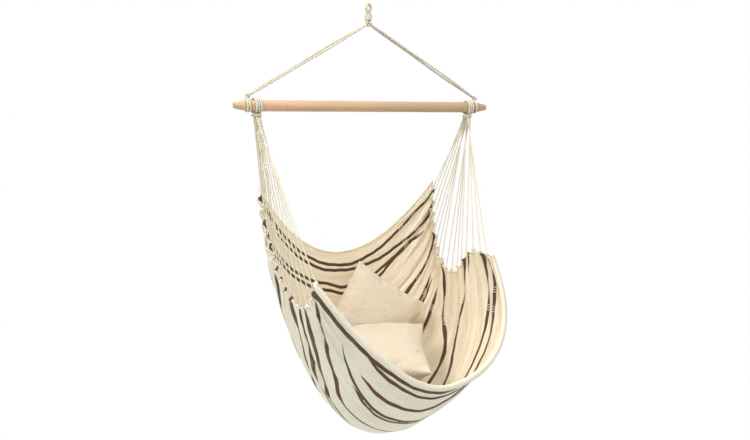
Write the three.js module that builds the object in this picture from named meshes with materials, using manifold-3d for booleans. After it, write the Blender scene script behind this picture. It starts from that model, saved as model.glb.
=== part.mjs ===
// Hammock chair: a striped cloth seat that hangs on two fans of cords under a wooden spreader bar.
import * as THREE from 'three';
import { mergeVertices } from 'three/addons/utils/BufferGeometryUtils.js';
import Module from 'manifold-3d';

const wasm = await Module();
wasm.setup();

// Lengths are in millimetres, X runs along the bar, the sitter faces -Y and Z is up.
// The origin is the point inside the rope eye where a hook carries the chair.

// Clearances
const restGap = 0.35; // between pieces that touch on the real chair
const turnGap = 0.6; // between the bar and the rope eyes that turn on it
const coilGap = 0.6; // between two turns of one winding

// Suspension rope, from the hook down to the bar
const ropeDiameter = 8;
const apexDrop = 71; // from the hanging point down to the apex knot's centre
const eyeWidth = 30;
const neckLength = 27;
const neckCordDiameter = 4;
const apexKnotDiameter = 30;
const apexRise = 317; // from the bar's axis up to the apex knot's centre

// Spreader bar
const barLength = 1100;
const barDiameter = 42;
const barTipDiameter = 23;
const barConeDiameter = 37;
const barConeLength = 40;
const barChamfer = 2;
const hitchGrooveDepth = 4;
const hitchGroovePlay = 2;
const hitchKnotDiameter = 21;
const leftHitchTurns = 2;
const rightHitchTurns = 1;

// Harness: the rope eyes that turn on the bar and the fans of cords below them
const harnessInset = 87; // from the bar's tip to the middle of the eye
const harnessTurns = 3;
const bindingCordDiameter = 3;
const bindingTurns = 2;
const fanCordDiameter = 4.6;
const fanCordGap = 1;
const fanCordKnotDiameter = 10;
const fanRows = 4;
const fanColumns = 4;

// Seat cloth
const seatWidth = 800; // between its two side edges
const seatDepth = 700; // from the back rim to the front rim
const seatDrop = 1230; // from the bar's axis down to the lowest point
const clothThickness = 3;
const bellyDepth = 24; // how much more the cloth sags left of the middle, under the sitter
const sideHemDiameter = 8;
const backHemDiameter = 7;
const frontRollDiameter = 24;
const pleatDepth = 8;
const pleatReach = 190; // how far the pleats run in from the side edges

// Cushions
const backCushionSide = 355;
const seatCushionSide = 430;
const cushionSeam = 5; // height of the seamed edge
const backCrownFront = 62;
const backCrownRear = 112;
const seatCrownTop = 66;
const seatCrownUnder = 120;
const cushionParting = 50; // how far behind the bar's axis the two cushions meet

// Facets
const loopSteps = 24;
const eyeSteps = 32;
const loopSides = 6;
const cordSides = 8;
const barSides = 32;
const knotSides = 16;
const knotRings = 12;
const cushionCells = 10;
const hemSteps = 8;
const rowSamples = 96;
const clothMiddleColumns = 10;

// Sizes that follow
const ropeRadius = ropeDiameter / 2;
const barRadius = barDiameter / 2;
const grooveRadius = barRadius - hitchGrooveDepth;
const knotZ = -apexDrop;
const barZ = knotZ - apexRise;
const neckBottomZ = knotZ + apexKnotDiameter / 2 + restGap;
const eyeBottomZ = neckBottomZ + neckLength;
const ropePitch = ropeDiameter + coilGap;
const hitchWidth = leftHitchTurns * ropePitch + ropeDiameter;
const grooveWidth = hitchWidth + hitchGroovePlay;
const hitchX = barLength / 2 - barConeLength - grooveWidth / 2;
const hitchOuterRadius = grooveRadius + restGap + ropeDiameter;
const harnessX = barLength / 2 - harnessInset;
const harnessOuterRadius = barRadius + turnGap + ropeDiameter;
const harnessBottomZ = barZ - harnessOuterRadius;
const fanPitch = fanCordDiameter + fanCordGap;
const fanCords = fanRows * fanColumns;
const fanTopZ = harnessBottomZ - restGap;
const hemRows = 2 * fanCords;

const materials = {
  wood: new THREE.MeshStandardMaterial({ color: 0xdcb888, roughness: 0.6, metalness: 0 }),
  rope: new THREE.MeshStandardMaterial({ color: 0xece4cd, roughness: 0.9, metalness: 0 }),
  cord: new THREE.MeshStandardMaterial({ color: 0xf1ead8, roughness: 0.9, metalness: 0 }),
  cloth: new THREE.MeshStandardMaterial({ color: 0xf2e6cb, roughness: 0.92, metalness: 0 }),
  cushion: new THREE.MeshStandardMaterial({ color: 0xe8dac3, roughness: 0.92, metalness: 0 }),
};

const chair = new THREE.Group();

function vec(x, y, z) {
  return new THREE.Vector3(x, y, z);
}

function radians(degrees) {
  return THREE.MathUtils.degToRad(degrees);
}

function add(name, geometry, material) {
  const mesh = new THREE.Mesh(geometry, material.clone());
  mesh.name = name;
  chair.add(mesh);
  return mesh;
}

// Tubes

function sectionShape(radius, sides) {
  const corners = [];
  for (let side = 0; side < sides; side += 1) {
    const angle = (2 * Math.PI * side) / sides;
    corners.push(new THREE.Vector2(radius * Math.cos(angle), radius * Math.sin(angle)));
  }
  return new THREE.Shape(corners);
}

function tube(path, radius, sides, steps) {
  const settings = { steps, bevelEnabled: false, extrudePath: path };
  return new THREE.ExtrudeGeometry(sectionShape(radius, sides), settings);
}

class Winding extends THREE.Curve {
  // A helix round its own Z axis: it climbs one pitch a turn, and its radius may grow on the way.
  constructor(firstRadius, lastRadius, pitch, turns, firstAngle) {
    super();
    this.firstRadius = firstRadius;
    this.lastRadius = lastRadius;
    this.pitch = pitch;
    this.turns = turns;
    this.firstAngle = firstAngle;
  }

  getPoint(share, target = vec(0, 0, 0)) {
    const angle = this.firstAngle + 2 * Math.PI * this.turns * share;
    const radius = THREE.MathUtils.lerp(this.firstRadius, this.lastRadius, share);
    const height = this.pitch * this.turns * (share - 1 / 2);
    return target.set(radius * Math.cos(angle), radius * Math.sin(angle), height);
  }
}

function leastGap(winding, cordDiameter) {
  const count = loopSteps * winding.turns;
  const points = winding.getSpacedPoints(count);
  let least = Infinity;
  for (let first = 0; first < points.length; first += 1) {
    for (let second = first + loopSteps / 2; second < points.length; second += 1) {
      least = Math.min(least, points[first].distanceTo(points[second]));
    }
  }
  return least - cordDiameter;
}

function wound(name, winding, cordDiameter, material) {
  const steps = loopSteps * winding.turns;
  const mesh = add(name, tube(winding, cordDiameter / 2, loopSides, steps), material);
  if (winding.turns > 1) {
    const gap = leastGap(winding, cordDiameter).toFixed(2);
    console.log(`${name}: least gap between its turns ${gap} mm`);
  }
  return mesh;
}

function straightTube(start, end, radius, sides) {
  return tube(new THREE.LineCurve3(start, end), radius, sides, 1);
}

// Rope eye: two strands side by side, so that four legs stand in the neck

function eyeStrand(name, side) {
  const legX = ropePitch / 2;
  const y = side * legX;
  const crownZ = ropeRadius;
  const reach = (eyeWidth - ropeDiameter) / 2;
  const shoulderShare = 0.72;
  const bellyShare = 0.45;
  const half = [
    vec(-legX, y, neckBottomZ),
    vec(-legX, y, (neckBottomZ + eyeBottomZ) / 2),
    vec(-legX, y, eyeBottomZ),
    vec(-reach, y, eyeBottomZ * bellyShare),
    vec(-reach * shoulderShare, y, eyeBottomZ * bellyShare * (1 - shoulderShare)),
  ];
  const mirrored = half.map((point) => vec(-point.x, point.y, point.z)).reverse();
  const path = new THREE.CatmullRomCurve3([...half, vec(0, y, crownZ), ...mirrored]);
  add(name, tube(path, ropeRadius, cordSides, eyeSteps), materials.rope);
}

eyeStrand('hanging_eye_front_strand', -1);
eyeStrand('hanging_eye_back_strand', 1);

// Neck whipping, wound round the four legs and standing on the apex knot

const legReach = (ropePitch / 2) * Math.SQRT2 + ropeRadius;
const neckCordRadius = neckCordDiameter / 2;
const neckWindingRadius = legReach + restGap + neckCordRadius;
const neckPitch = neckCordDiameter + coilGap;
const neckTurns = Math.floor((neckLength - neckCordDiameter) / neckPitch);
const knotReach = apexKnotDiameter / 2 + neckCordRadius + restGap;
const neckFirstZ = knotZ + Math.sqrt(knotReach ** 2 - neckWindingRadius ** 2);
const neckWinding = new Winding(neckWindingRadius, neckWindingRadius, neckPitch, neckTurns, 0);
const neckWhipping = wound('neck_whipping', neckWinding, neckCordDiameter, materials.cord);
neckWhipping.position.z = neckFirstZ + (neckPitch * neckTurns) / 2;

const apexKnot = new THREE.SphereGeometry(apexKnotDiameter / 2, knotSides, knotRings);
add('apex_knot', apexKnot, materials.rope).position.z = knotZ;

// Spreader bar, turned with a cone, a shoulder and a rope groove at each end

function barEnd() {
  const tip = barLength / 2;
  const grooveStart = tip - barConeLength;
  const grooveEnd = grooveStart - grooveWidth;
  return [
    [0, tip],
    [barTipDiameter / 2 - barChamfer, tip],
    [barTipDiameter / 2, tip - barChamfer],
    [barConeDiameter / 2, grooveStart],
    [grooveRadius, grooveStart],
    [grooveRadius, grooveEnd],
    [barRadius - barChamfer, grooveEnd],
    [barRadius, grooveEnd - barChamfer],
  ];
}

function barGeometry() {
  const right = barEnd().map(([radius, along]) => new THREE.Vector2(radius, along)).reverse();
  const left = right.map((point) => new THREE.Vector2(point.x, -point.y)).reverse();
  const geometry = new THREE.LatheGeometry([...left, ...right], barSides);
  return geometry.rotateZ(-Math.PI / 2);
}

add('spreader_bar', barGeometry(), materials.wood).position.z = barZ;

// Hitches: the suspension rope's turns in the bar's grooves, with a knot on top of each

function hitch(name, side, turns) {
  const radius = grooveRadius + restGap + ropeRadius;
  const winding = new Winding(radius, radius, ropePitch, turns, Math.PI);
  const mesh = wound(name, winding, ropeDiameter, materials.rope);
  mesh.rotation.y = Math.PI / 2;
  mesh.position.set(side * hitchX, 0, barZ);
}

function hitchKnotCentre(side) {
  return vec(side * hitchX, 0, barZ + hitchOuterRadius + restGap + hitchKnotDiameter / 2);
}

function hitchKnot(name, side) {
  const radius = hitchKnotDiameter / 2;
  const mesh = add(name, new THREE.SphereGeometry(radius, knotSides, knotRings), materials.rope);
  mesh.position.copy(hitchKnotCentre(side));
}

hitch('left_bar_hitch', -1, leftHitchTurns);
hitch('right_bar_hitch', 1, rightHitchTurns);
hitchKnot('left_hitch_knot', -1);
hitchKnot('right_hitch_knot', 1);

// Suspension strands: two a side, taut from the apex knot to the hitch knot

function suspensionStrand(name, side, depthSide) {
  const apex = vec(0, 0, knotZ);
  const foot = hitchKnotCentre(side);
  const along = foot.clone().sub(apex).normalize();
  const beside = vec(0, (depthSide * ropePitch) / 2, 0);
  const start = apex.clone().addScaledVector(along, apexKnotDiameter / 2 + restGap);
  const end = foot.clone().addScaledVector(along, -(hitchKnotDiameter / 2 + restGap));
  add(name, straightTube(start.add(beside), end.add(beside), ropeRadius, cordSides), materials.rope);
}

suspensionStrand('left_front_suspension_strand', -1, -1);
suspensionStrand('left_back_suspension_strand', -1, 1);
suspensionStrand('right_front_suspension_strand', 1, -1);
suspensionStrand('right_back_suspension_strand', 1, 1);

// Harness eyes: rope turns that hang on the bar and tilt with the seat

function harnessEye(name, side) {
  const radius = barRadius + turnGap + ropeRadius;
  const winding = new Winding(radius, radius, ropePitch, harnessTurns, 0);
  const mesh = wound(name, winding, ropeDiameter, materials.rope);
  mesh.rotation.y = Math.PI / 2;
  mesh.position.set(side * harnessX, 0, barZ);
}

harnessEye('left_harness_eye', -1);
harnessEye('right_harness_eye', 1);

// Seat cloth: each stripe line hangs from side edge to side edge through the middle line.
// Places are shares: across of half the width, along of the depth, down of the drop.

const leftEdgeShares = [
  [-1, 0.214, 0.251],
  [-0.994, 0.137, 0.378],
  [-0.971, -0.043, 0.52],
  [-0.957, -0.214, 0.577],
  [-0.962, -0.393, 0.569],
  [-0.986, -0.544, 0.492],
];
const rightEdgeShares = [
  [1.003, 0.239, 0.248],
  [1.001, 0.236, 0.385],
  [0.998, 0.143, 0.525],
  [0.987, -0.029, 0.547],
  [0.975, -0.2, 0.469],
  [0.963, -0.417, 0.471],
];
const middleShares = [
  [0.009, 0.376, 0.488],
  [0.032, 0.364, 0.647],
  [0.002, 0.264, 0.825],
  [-0.014, 0.029, 0.969],
  [0.024, -0.257, 1],
  [0.129, -0.5, 0.934],
  [0.233, -0.647, 0.819],
];
// How each side hangs at the back, the middle and the front: higher is straighter, lower is fuller
const leftDrapeShares = [2, 1.3, 2.3];
const rightDrapeShares = [2, 1, 0.95];
const leftBulgeShares = [0, 0.02, 0.06];
const rightBulgeShares = [0, 0.1, 0.06];
const curveTension = 0.5;
// The belly's middle and its reach, as shares of a row and of the rows
const bellyShares = { across: 0.38, along: 0.62, acrossReach: 0.1, alongReach: 0.14 };

function seatPlace([across, along, down]) {
  return vec((across * seatWidth) / 2, along * seatDepth, barZ - down * seatDrop);
}

function seatCurve(shares) {
  return new THREE.CatmullRomCurve3(shares.map(seatPlace), false, 'catmullrom', curveTension);
}

const leftEdge = seatCurve(leftEdgeShares);
const rightEdge = seatCurve(rightEdgeShares);
const middleLine = seatCurve(middleShares);

function throughThree([back, middle, front], v) {
  return back * (1 - v) * (1 - 2 * v) + 4 * middle * v * (1 - v) + front * v * (2 * v - 1);
}

function bellyAt(across, along) {
  const fromMiddle = (across - bellyShares.across) / bellyShares.acrossReach;
  const fromCentre = (along - bellyShares.along) / bellyShares.alongReach;
  return bellyDepth * Math.exp(-(fromMiddle ** 2) - fromCentre ** 2);
}

function clothRow(v) {
  const left = leftEdge.getPointAt(v);
  const right = rightEdge.getPointAt(v);
  const middle = middleLine.getPointAt(v);
  const centre = left.clone().add(right).divideScalar(2);
  const half = right.clone().sub(centre);
  const hang = middle.sub(centre);
  const points = [];
  for (let sample = 0; sample <= rowSamples; sample += 1) {
    const angle = Math.PI * (sample / rowSamples - 1 / 2);
    const drape = throughThree(angle < 0 ? leftDrapeShares : rightDrapeShares, v);
    const bulge = throughThree(angle < 0 ? leftBulgeShares : rightBulgeShares, v);
    const reach = Math.sin(angle) + bulge * Math.sin(2 * angle);
    const droop = Math.max(Math.cos(angle), 0) ** drape;
    const point = centre.clone().addScaledVector(half, reach).addScaledVector(hang, droop);
    point.z -= bellyAt(sample / rowSamples, v);
    points.push(point);
  }
  const lengths = [0];
  for (let sample = 1; sample <= rowSamples; sample += 1) {
    lengths.push(lengths[sample - 1] + points[sample].distanceTo(points[sample - 1]));
  }
  return { points, lengths, total: lengths[rowSamples] };
}

function alongRow(row, distance) {
  const target = Math.min(Math.max(distance, 0), row.total);
  let upper = 1;
  while (upper < rowSamples && row.lengths[upper] < target) upper += 1;
  const span = row.lengths[upper] - row.lengths[upper - 1];
  const share = (target - row.lengths[upper - 1]) / span;
  return row.points[upper - 1].clone().lerp(row.points[upper], share);
}

// Stations across the cloth: each hem has a rounded bead, the rest is even
const beadFadeShare = 1.5;
const hemBead = [
  { inset: 0, thick: sideHemDiameter / 2 },
  { inset: sideHemDiameter / 2, thick: sideHemDiameter },
  { inset: beadFadeShare * sideHemDiameter, thick: clothThickness },
];
const backBead = [
  { inset: 0, thick: backHemDiameter / 2 },
  { inset: backHemDiameter / 2, thick: backHemDiameter },
  { inset: beadFadeShare * backHemDiameter, thick: clothThickness },
];
const frontRoll = [
  { inset: 0, thick: frontRollDiameter / 2 },
  { inset: frontRollDiameter / 2, thick: frontRollDiameter },
  { inset: frontRollDiameter, thick: clothThickness },
];

function stations(total, firstBead, lastBead, middle) {
  const list = firstBead.map(({ inset, thick }) => ({ at: inset, thick }));
  list.push(...middle.map((share) => ({ at: share * total, thick: clothThickness })));
  list.push(...[...lastBead].reverse().map(({ inset, thick }) => ({ at: total - inset, thick })));
  return list;
}

const middleColumns = [];
for (let column = 1; column < clothMiddleColumns; column += 1) {
  middleColumns.push(column / clothMiddleColumns);
}
const middleRows = [];
for (let row = 1; row < hemRows; row += 1) {
  middleRows.push(row / hemRows);
}
const middleLength = middleLine.getLength();
const rowStations = stations(middleLength, backBead, frontRoll, middleRows);

// One pleat a cord: the cloth is drawn inwards at each cord's knot and stands out between them
function pleatAt(v, edgeDistance) {
  const wave = Math.cos(2 * Math.PI * fanCords * v);
  return pleatDepth * wave * Math.exp(-((edgeDistance / pleatReach) ** 2));
}

function gridNormals(grid) {
  const rows = grid.length;
  const columns = grid[0].length;
  return grid.map((line, r) => line.map((_, c) => {
    const across = grid[r][Math.min(c + 1, columns - 1)].clone().sub(grid[r][Math.max(c - 1, 0)]);
    const forward = grid[Math.min(r + 1, rows - 1)][c].clone().sub(grid[Math.max(r - 1, 0)][c]);
    return across.cross(forward).normalize();
  }));
}

function clothGrid() {
  const flat = [];
  const sizes = [];
  for (const { at, thick } of rowStations) {
    const v = at / middleLength;
    const row = clothRow(v);
    const across = stations(row.total, hemBead, hemBead, middleColumns);
    flat.push(across.map((station) => alongRow(row, station.at)));
    sizes.push(across.map((station) => ({
      thick: Math.max(station.thick, thick),
      pleat: pleatAt(v, Math.min(station.at, row.total - station.at)),
    })));
  }
  const normals = gridNormals(flat);
  const pleated = flat.map((line, r) => line.map((point, c) => (
    point.clone().addScaledVector(normals[r][c], sizes[r][c].pleat)
  )));
  return { points: pleated, normals: gridNormals(pleated), sizes };
}

const cloth = clothGrid();
const clothRows = cloth.points.length;
const clothColumns = cloth.points[0].length;

function clothSide(offset) {
  const positions = [];
  for (let r = 0; r < clothRows; r += 1) {
    for (let c = 0; c < clothColumns; c += 1) {
      const shift = offset(cloth.sizes[r][c].thick);
      positions.push(cloth.points[r][c].clone().addScaledVector(cloth.normals[r][c], shift));
    }
  }
  return positions;
}

const clothOuter = clothSide((thick) => thick / 2);
const clothInner = clothSide((thick) => -thick / 2);

function gridTriangles(first, turned) {
  const triangles = [];
  for (let r = 0; r + 1 < clothRows; r += 1) {
    for (let c = 0; c + 1 < clothColumns; c += 1) {
      const a = first + r * clothColumns + c;
      const b = a + 1;
      const d = a + clothColumns;
      const e = d + 1;
      if (turned) triangles.push(a, e, b, a, d, e);
      else triangles.push(a, b, e, a, e, d);
    }
  }
  return triangles;
}

function gridBorder() {
  const lastRow = (clothRows - 1) * clothColumns;
  const border = [];
  for (let c = 0; c + 1 < clothColumns; c += 1) border.push(c);
  for (let r = 0; r + 1 < clothRows; r += 1) border.push(r * clothColumns + clothColumns - 1);
  for (let c = clothColumns - 1; c > 0; c -= 1) border.push(lastRow + c);
  for (let r = clothRows - 1; r > 0; r -= 1) border.push(r * clothColumns);
  return border;
}

function closedGeometry(points, triangles) {
  const geometry = new THREE.BufferGeometry();
  geometry.setFromPoints(points);
  geometry.setIndex(triangles);
  geometry.computeVertexNormals();
  return geometry;
}

function clothGeometry() {
  const count = clothOuter.length;
  const triangles = [...gridTriangles(0, false), ...gridTriangles(count, true)];
  const border = gridBorder();
  border.forEach((from, place) => {
    const to = border[(place + 1) % border.length];
    triangles.push(to, from, from + count, to, from + count, to + count);
  });
  return closedGeometry([...clothOuter, ...clothInner], triangles);
}

add('seat_cloth', clothGeometry(), materials.cloth);

// Fans of cords: each runs from the bundle under its harness eye to a knot on the side hem

const hemColumn = 1;

function hemSkin(side, row) {
  const points = [];
  for (const skin of [clothOuter, clothInner]) {
    for (let inward = 0; inward < hemBead.length; inward += 1) {
      const column = side < 0 ? inward : clothColumns - 1 - inward;
      for (const next of [row - 1, row + 1]) {
        const from = skin[row * clothColumns + column];
        const to = skin[next * clothColumns + column];
        for (let step = 0; step <= hemSteps; step += 1) {
          points.push(from.clone().lerp(to, step / hemSteps));
        }
      }
    }
  }
  return points;
}

// How far from the start along the direction a ball of this reach clears every point
function clearDistance(start, direction, points, reach) {
  let distance = 0;
  for (const point of points) {
    const toPoint = point.clone().sub(start);
    const along = toPoint.dot(direction);
    const spare = reach ** 2 - toPoint.lengthSq() + along ** 2;
    if (spare > 0) distance = Math.max(distance, along + Math.sqrt(spare));
  }
  return distance;
}

function hemPoint(side, row) {
  return cloth.points[row][side < 0 ? hemColumn : clothColumns - 1 - hemColumn];
}

function hemRow(cord) {
  return backBead.length + 2 * cord;
}

// In the bundle the cords lie in rows from back to front, and each row keeps its feet's order
function fanTop(side, cord) {
  const row = Math.floor(cord / fanColumns);
  const acrossOf = (other) => hemPoint(side, hemRow(other)).x;
  let column = 0;
  for (let other = row * fanColumns; other < (row + 1) * fanColumns; other += 1) {
    if (acrossOf(other) < acrossOf(cord)) column += 1;
  }
  const x = (column - (fanColumns - 1) / 2) * fanPitch;
  const y = ((fanRows - 1) / 2 - row) * fanPitch;
  return vec(side * harnessX + x, y, fanTopZ);
}

function fanFoot(side, cord) {
  const row = hemRow(cord);
  const point = hemPoint(side, row);
  const tangent = hemPoint(side, row + 1).clone().sub(hemPoint(side, row - 1)).normalize();
  const toTop = fanTop(side, cord).sub(point);
  const away = toTop.addScaledVector(tangent, -toTop.dot(tangent)).normalize();
  const reach = fanCordKnotDiameter / 2 + restGap;
  const distance = clearDistance(point, away, hemSkin(side, row), reach);
  return point.clone().addScaledVector(away, distance);
}

function fanCordGeometry(length) {
  const knotRadius = fanCordKnotDiameter / 2;
  const cordRadius = fanCordDiameter / 2;
  const neckAngle = Math.asin(cordRadius / knotRadius);
  const knotArcs = 4;
  const profile = [];
  for (let arc = 0; arc <= knotArcs; arc += 1) {
    const angle = THREE.MathUtils.lerp(0, Math.PI - neckAngle, arc / knotArcs);
    profile.push(new THREE.Vector2(knotRadius * Math.sin(angle), -knotRadius * Math.cos(angle)));
  }
  profile.push(new THREE.Vector2(cordRadius, length));
  profile.push(new THREE.Vector2(0, length));
  return new THREE.LatheGeometry(profile, cordSides);
}

function fanCord(side, cord) {
  const top = fanTop(side, cord);
  const foot = fanFoot(side, cord);
  const along = top.clone().sub(foot);
  const hand = side < 0 ? 'left' : 'right';
  const number = String(cord + 1).padStart(2, '0');
  const mesh = add(`${hand}_fan_cord_${number}`, fanCordGeometry(along.length()), materials.cord);
  mesh.position.copy(foot);
  mesh.quaternion.setFromUnitVectors(vec(0, 1, 0), along.normalize());
}

for (const side of [-1, 1]) {
  for (let cord = 0; cord < fanCords; cord += 1) fanCord(side, cord);
}

// Bindings: two turns of thin cord that hold each bundle together right under the eye

function bundleReach(side, below) {
  let reach = 0;
  for (let cord = 0; cord < fanCords; cord += 1) {
    const top = fanTop(side, cord);
    const foot = fanFoot(side, cord);
    const slope = foot.sub(top).normalize();
    const point = top.addScaledVector(slope, below / -slope.z);
    const slice = fanCordDiameter / 2 / -slope.z;
    reach = Math.max(reach, Math.hypot(point.x - side * harnessX, point.y) + slice);
  }
  return reach;
}

function binding(name, side) {
  const pitch = bindingCordDiameter + coilGap;
  const cordRadius = bindingCordDiameter / 2;
  const height = pitch * bindingTurns;
  const slack = restGap + cordRadius;
  const first = bundleReach(side, height + 2 * cordRadius) + slack;
  const last = bundleReach(side, 2 * cordRadius) + slack;
  const winding = new Winding(first, last, pitch, bindingTurns, 0);
  const mesh = wound(name, winding, bindingCordDiameter, materials.cord);
  mesh.position.set(side * harnessX, 0, fanTopZ - restGap - cordRadius - height / 2);
}

binding('left_fan_binding', -1);
binding('right_fan_binding', 1);

// Cushions: soft squares that settle into the cloth and meet each other at an upright face

function toManifold(geometry) {
  const bare = geometry.clone();
  bare.deleteAttribute('normal');
  bare.deleteAttribute('uv');
  const merged = mergeVertices(bare);
  const vertProperties = new Float32Array(merged.attributes.position.array);
  const triVerts = new Uint32Array(merged.index.array);
  return new wasm.Manifold(new wasm.Mesh({ numProp: 3, vertProperties, triVerts }));
}

function fromManifold(solid) {
  const { vertProperties, triVerts } = solid.getMesh();
  const geometry = new THREE.BufferGeometry();
  geometry.setAttribute('position', new THREE.BufferAttribute(vertProperties, 3));
  geometry.setIndex(new THREE.BufferAttribute(triVerts, 1));
  geometry.computeVertexNormals();
  return geometry;
}

function cushionGeometry(side, crownUp, crownDown) {
  const crownShare = 0.42;
  const drawnInShare = 0.07;
  const cells = cushionCells;
  const stride = cells + 1;
  const lastRow = cells * stride;
  const points = [];
  const sidePoint = (share) => Math.sin((Math.PI / 2) * (2 * share - 1));
  for (const [crown, face] of [[crownUp, 1], [crownDown, -1]]) {
    for (let j = 0; j <= cells; j += 1) {
      for (let i = 0; i <= cells; i += 1) {
        const a = sidePoint(i / cells);
        const b = sidePoint(j / cells);
        const full = (Math.max(1 - a * a, 0) * Math.max(1 - b * b, 0)) ** crownShare;
        const x = (side / 2) * a * (1 - drawnInShare * (1 - b * b));
        const y = (side / 2) * b * (1 - drawnInShare * (1 - a * a));
        points.push(vec(x, y, face * (cushionSeam / 2 + (crown - cushionSeam / 2) * full)));
      }
    }
  }
  const under = stride * stride;
  const triangles = [];
  for (let j = 0; j < cells; j += 1) {
    for (let i = 0; i < cells; i += 1) {
      const p = j * stride + i;
      const q = p + stride;
      triangles.push(p, p + 1, q + 1, p, q + 1, q);
      triangles.push(under + p, under + q + 1, under + p + 1, under + p, under + q, under + q + 1);
    }
  }
  for (let k = 0; k < cells; k += 1) {
    const back = cells - k;
    const rim = [
      [k, k + 1],
      [lastRow + back, lastRow + back - 1],
      [k * stride + cells, (k + 1) * stride + cells],
      [back * stride, (back - 1) * stride],
    ];
    for (const [from, to] of rim) {
      triangles.push(to, from, from + under, to, from + under, to + under);
    }
  }
  return closedGeometry(points, triangles);
}

function bowlInside() {
  const wall = clothSide((thick) => -(thick / 2 + restGap));
  const lidShare = 0.13;
  const lid = vec(0, 0, barZ - lidShare * seatDrop);
  const border = gridBorder();
  const triangles = gridTriangles(0, false);
  border.forEach((from, place) => {
    triangles.push(border[(place + 1) % border.length], from, wall.length);
  });
  return toManifold(closedGeometry([...wall, lid], triangles));
}

function behindParting(side) {
  const block = new THREE.BoxGeometry(seatWidth, seatDepth, 2 * seatDrop);
  block.translate(0, cushionParting + (side * (seatDepth + restGap)) / 2, barZ);
  return toManifold(block);
}

const bowl = bowlInside();

function cushion(name, geometry, centreShares, side) {
  const centre = seatPlace(centreShares);
  geometry.translate(centre.x, centre.y, centre.z);
  const settled = toManifold(geometry).intersect(bowl).intersect(behindParting(side));
  add(name, fromManifold(settled), materials.cushion);
}

const backSpin = radians(-35);
const backRecline = radians(13);
const backYaw = radians(-8);
const backCentreShares = [0.212, 0.163, 0.706];
const seatYaw = radians(-28);
const seatTilt = radians(10);
const seatRoll = radians(-8);
const seatCentreShares = [-0.045, -0.105, 0.77];

const backCushion = cushionGeometry(backCushionSide, backCrownFront, backCrownRear);
backCushion.rotateZ(backSpin).rotateX(Math.PI / 2 - backRecline).rotateZ(backYaw);
cushion('back_cushion', backCushion, backCentreShares, 1);

const seatCushion = cushionGeometry(seatCushionSide, seatCrownTop, seatCrownUnder);
seatCushion.rotateZ(seatYaw).rotateX(seatTilt).rotateY(seatRoll);
cushion('seat_cushion', seatCushion, seatCentreShares, -1);

export default chair;
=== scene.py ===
"""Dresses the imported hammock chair: laid ropes and cords, knots, a pleated striped cloth, cushions.

Lengths are in millimetres until a mesh is made, as in the CAD source, and MM turns them into metres.
"""

import math

import bpy
import numpy as np
from mathutils import Matrix, Vector
from mathutils.bvhtree import BVHTree


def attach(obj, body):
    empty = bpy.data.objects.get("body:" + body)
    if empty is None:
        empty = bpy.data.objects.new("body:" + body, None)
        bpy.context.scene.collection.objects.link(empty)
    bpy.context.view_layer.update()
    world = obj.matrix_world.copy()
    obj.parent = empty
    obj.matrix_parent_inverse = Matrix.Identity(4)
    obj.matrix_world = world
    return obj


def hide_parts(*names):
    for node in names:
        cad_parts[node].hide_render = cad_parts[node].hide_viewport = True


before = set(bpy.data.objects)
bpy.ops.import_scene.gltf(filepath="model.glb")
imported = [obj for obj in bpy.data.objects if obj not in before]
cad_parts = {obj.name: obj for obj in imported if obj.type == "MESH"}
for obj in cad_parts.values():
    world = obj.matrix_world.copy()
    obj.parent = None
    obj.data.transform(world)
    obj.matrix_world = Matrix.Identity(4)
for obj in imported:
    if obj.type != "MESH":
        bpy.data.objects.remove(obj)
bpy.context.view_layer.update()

MM = 0.001
TURN = 2 * math.pi
BAR_Z = -388.0


# Camera: in front, to the left, at about the bar's height and a little tilted down

CAMERA_PLACE = (-1.6907, -3.1814, -0.4425)
CAMERA_YAW = 28.392
CAMERA_TILT = 6.162
CAMERA_LENS = 44.187
SENSOR_WIDTH = 36

camera_data = bpy.data.cameras.new("camera")
camera_data.lens = CAMERA_LENS
camera_data.sensor_width = SENSOR_WIDTH
camera = bpy.data.objects.new("camera", camera_data)
camera.location = CAMERA_PLACE
camera.rotation_euler = (math.radians(90 - CAMERA_TILT), 0, -math.radians(CAMERA_YAW))
bpy.context.scene.collection.objects.link(camera)
bpy.context.scene.camera = camera


# Materials


def srgb(red, green, blue):
    """A colour as a picture shows it, from 0 to 255, in Blender's linear values."""
    channels = [value / 255 for value in (red, green, blue)]
    linear = [c / 12.92 if c <= 0.04045 else ((c + 0.055) / 1.055) ** 2.4 for c in channels]
    return (*linear, 1)


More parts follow.
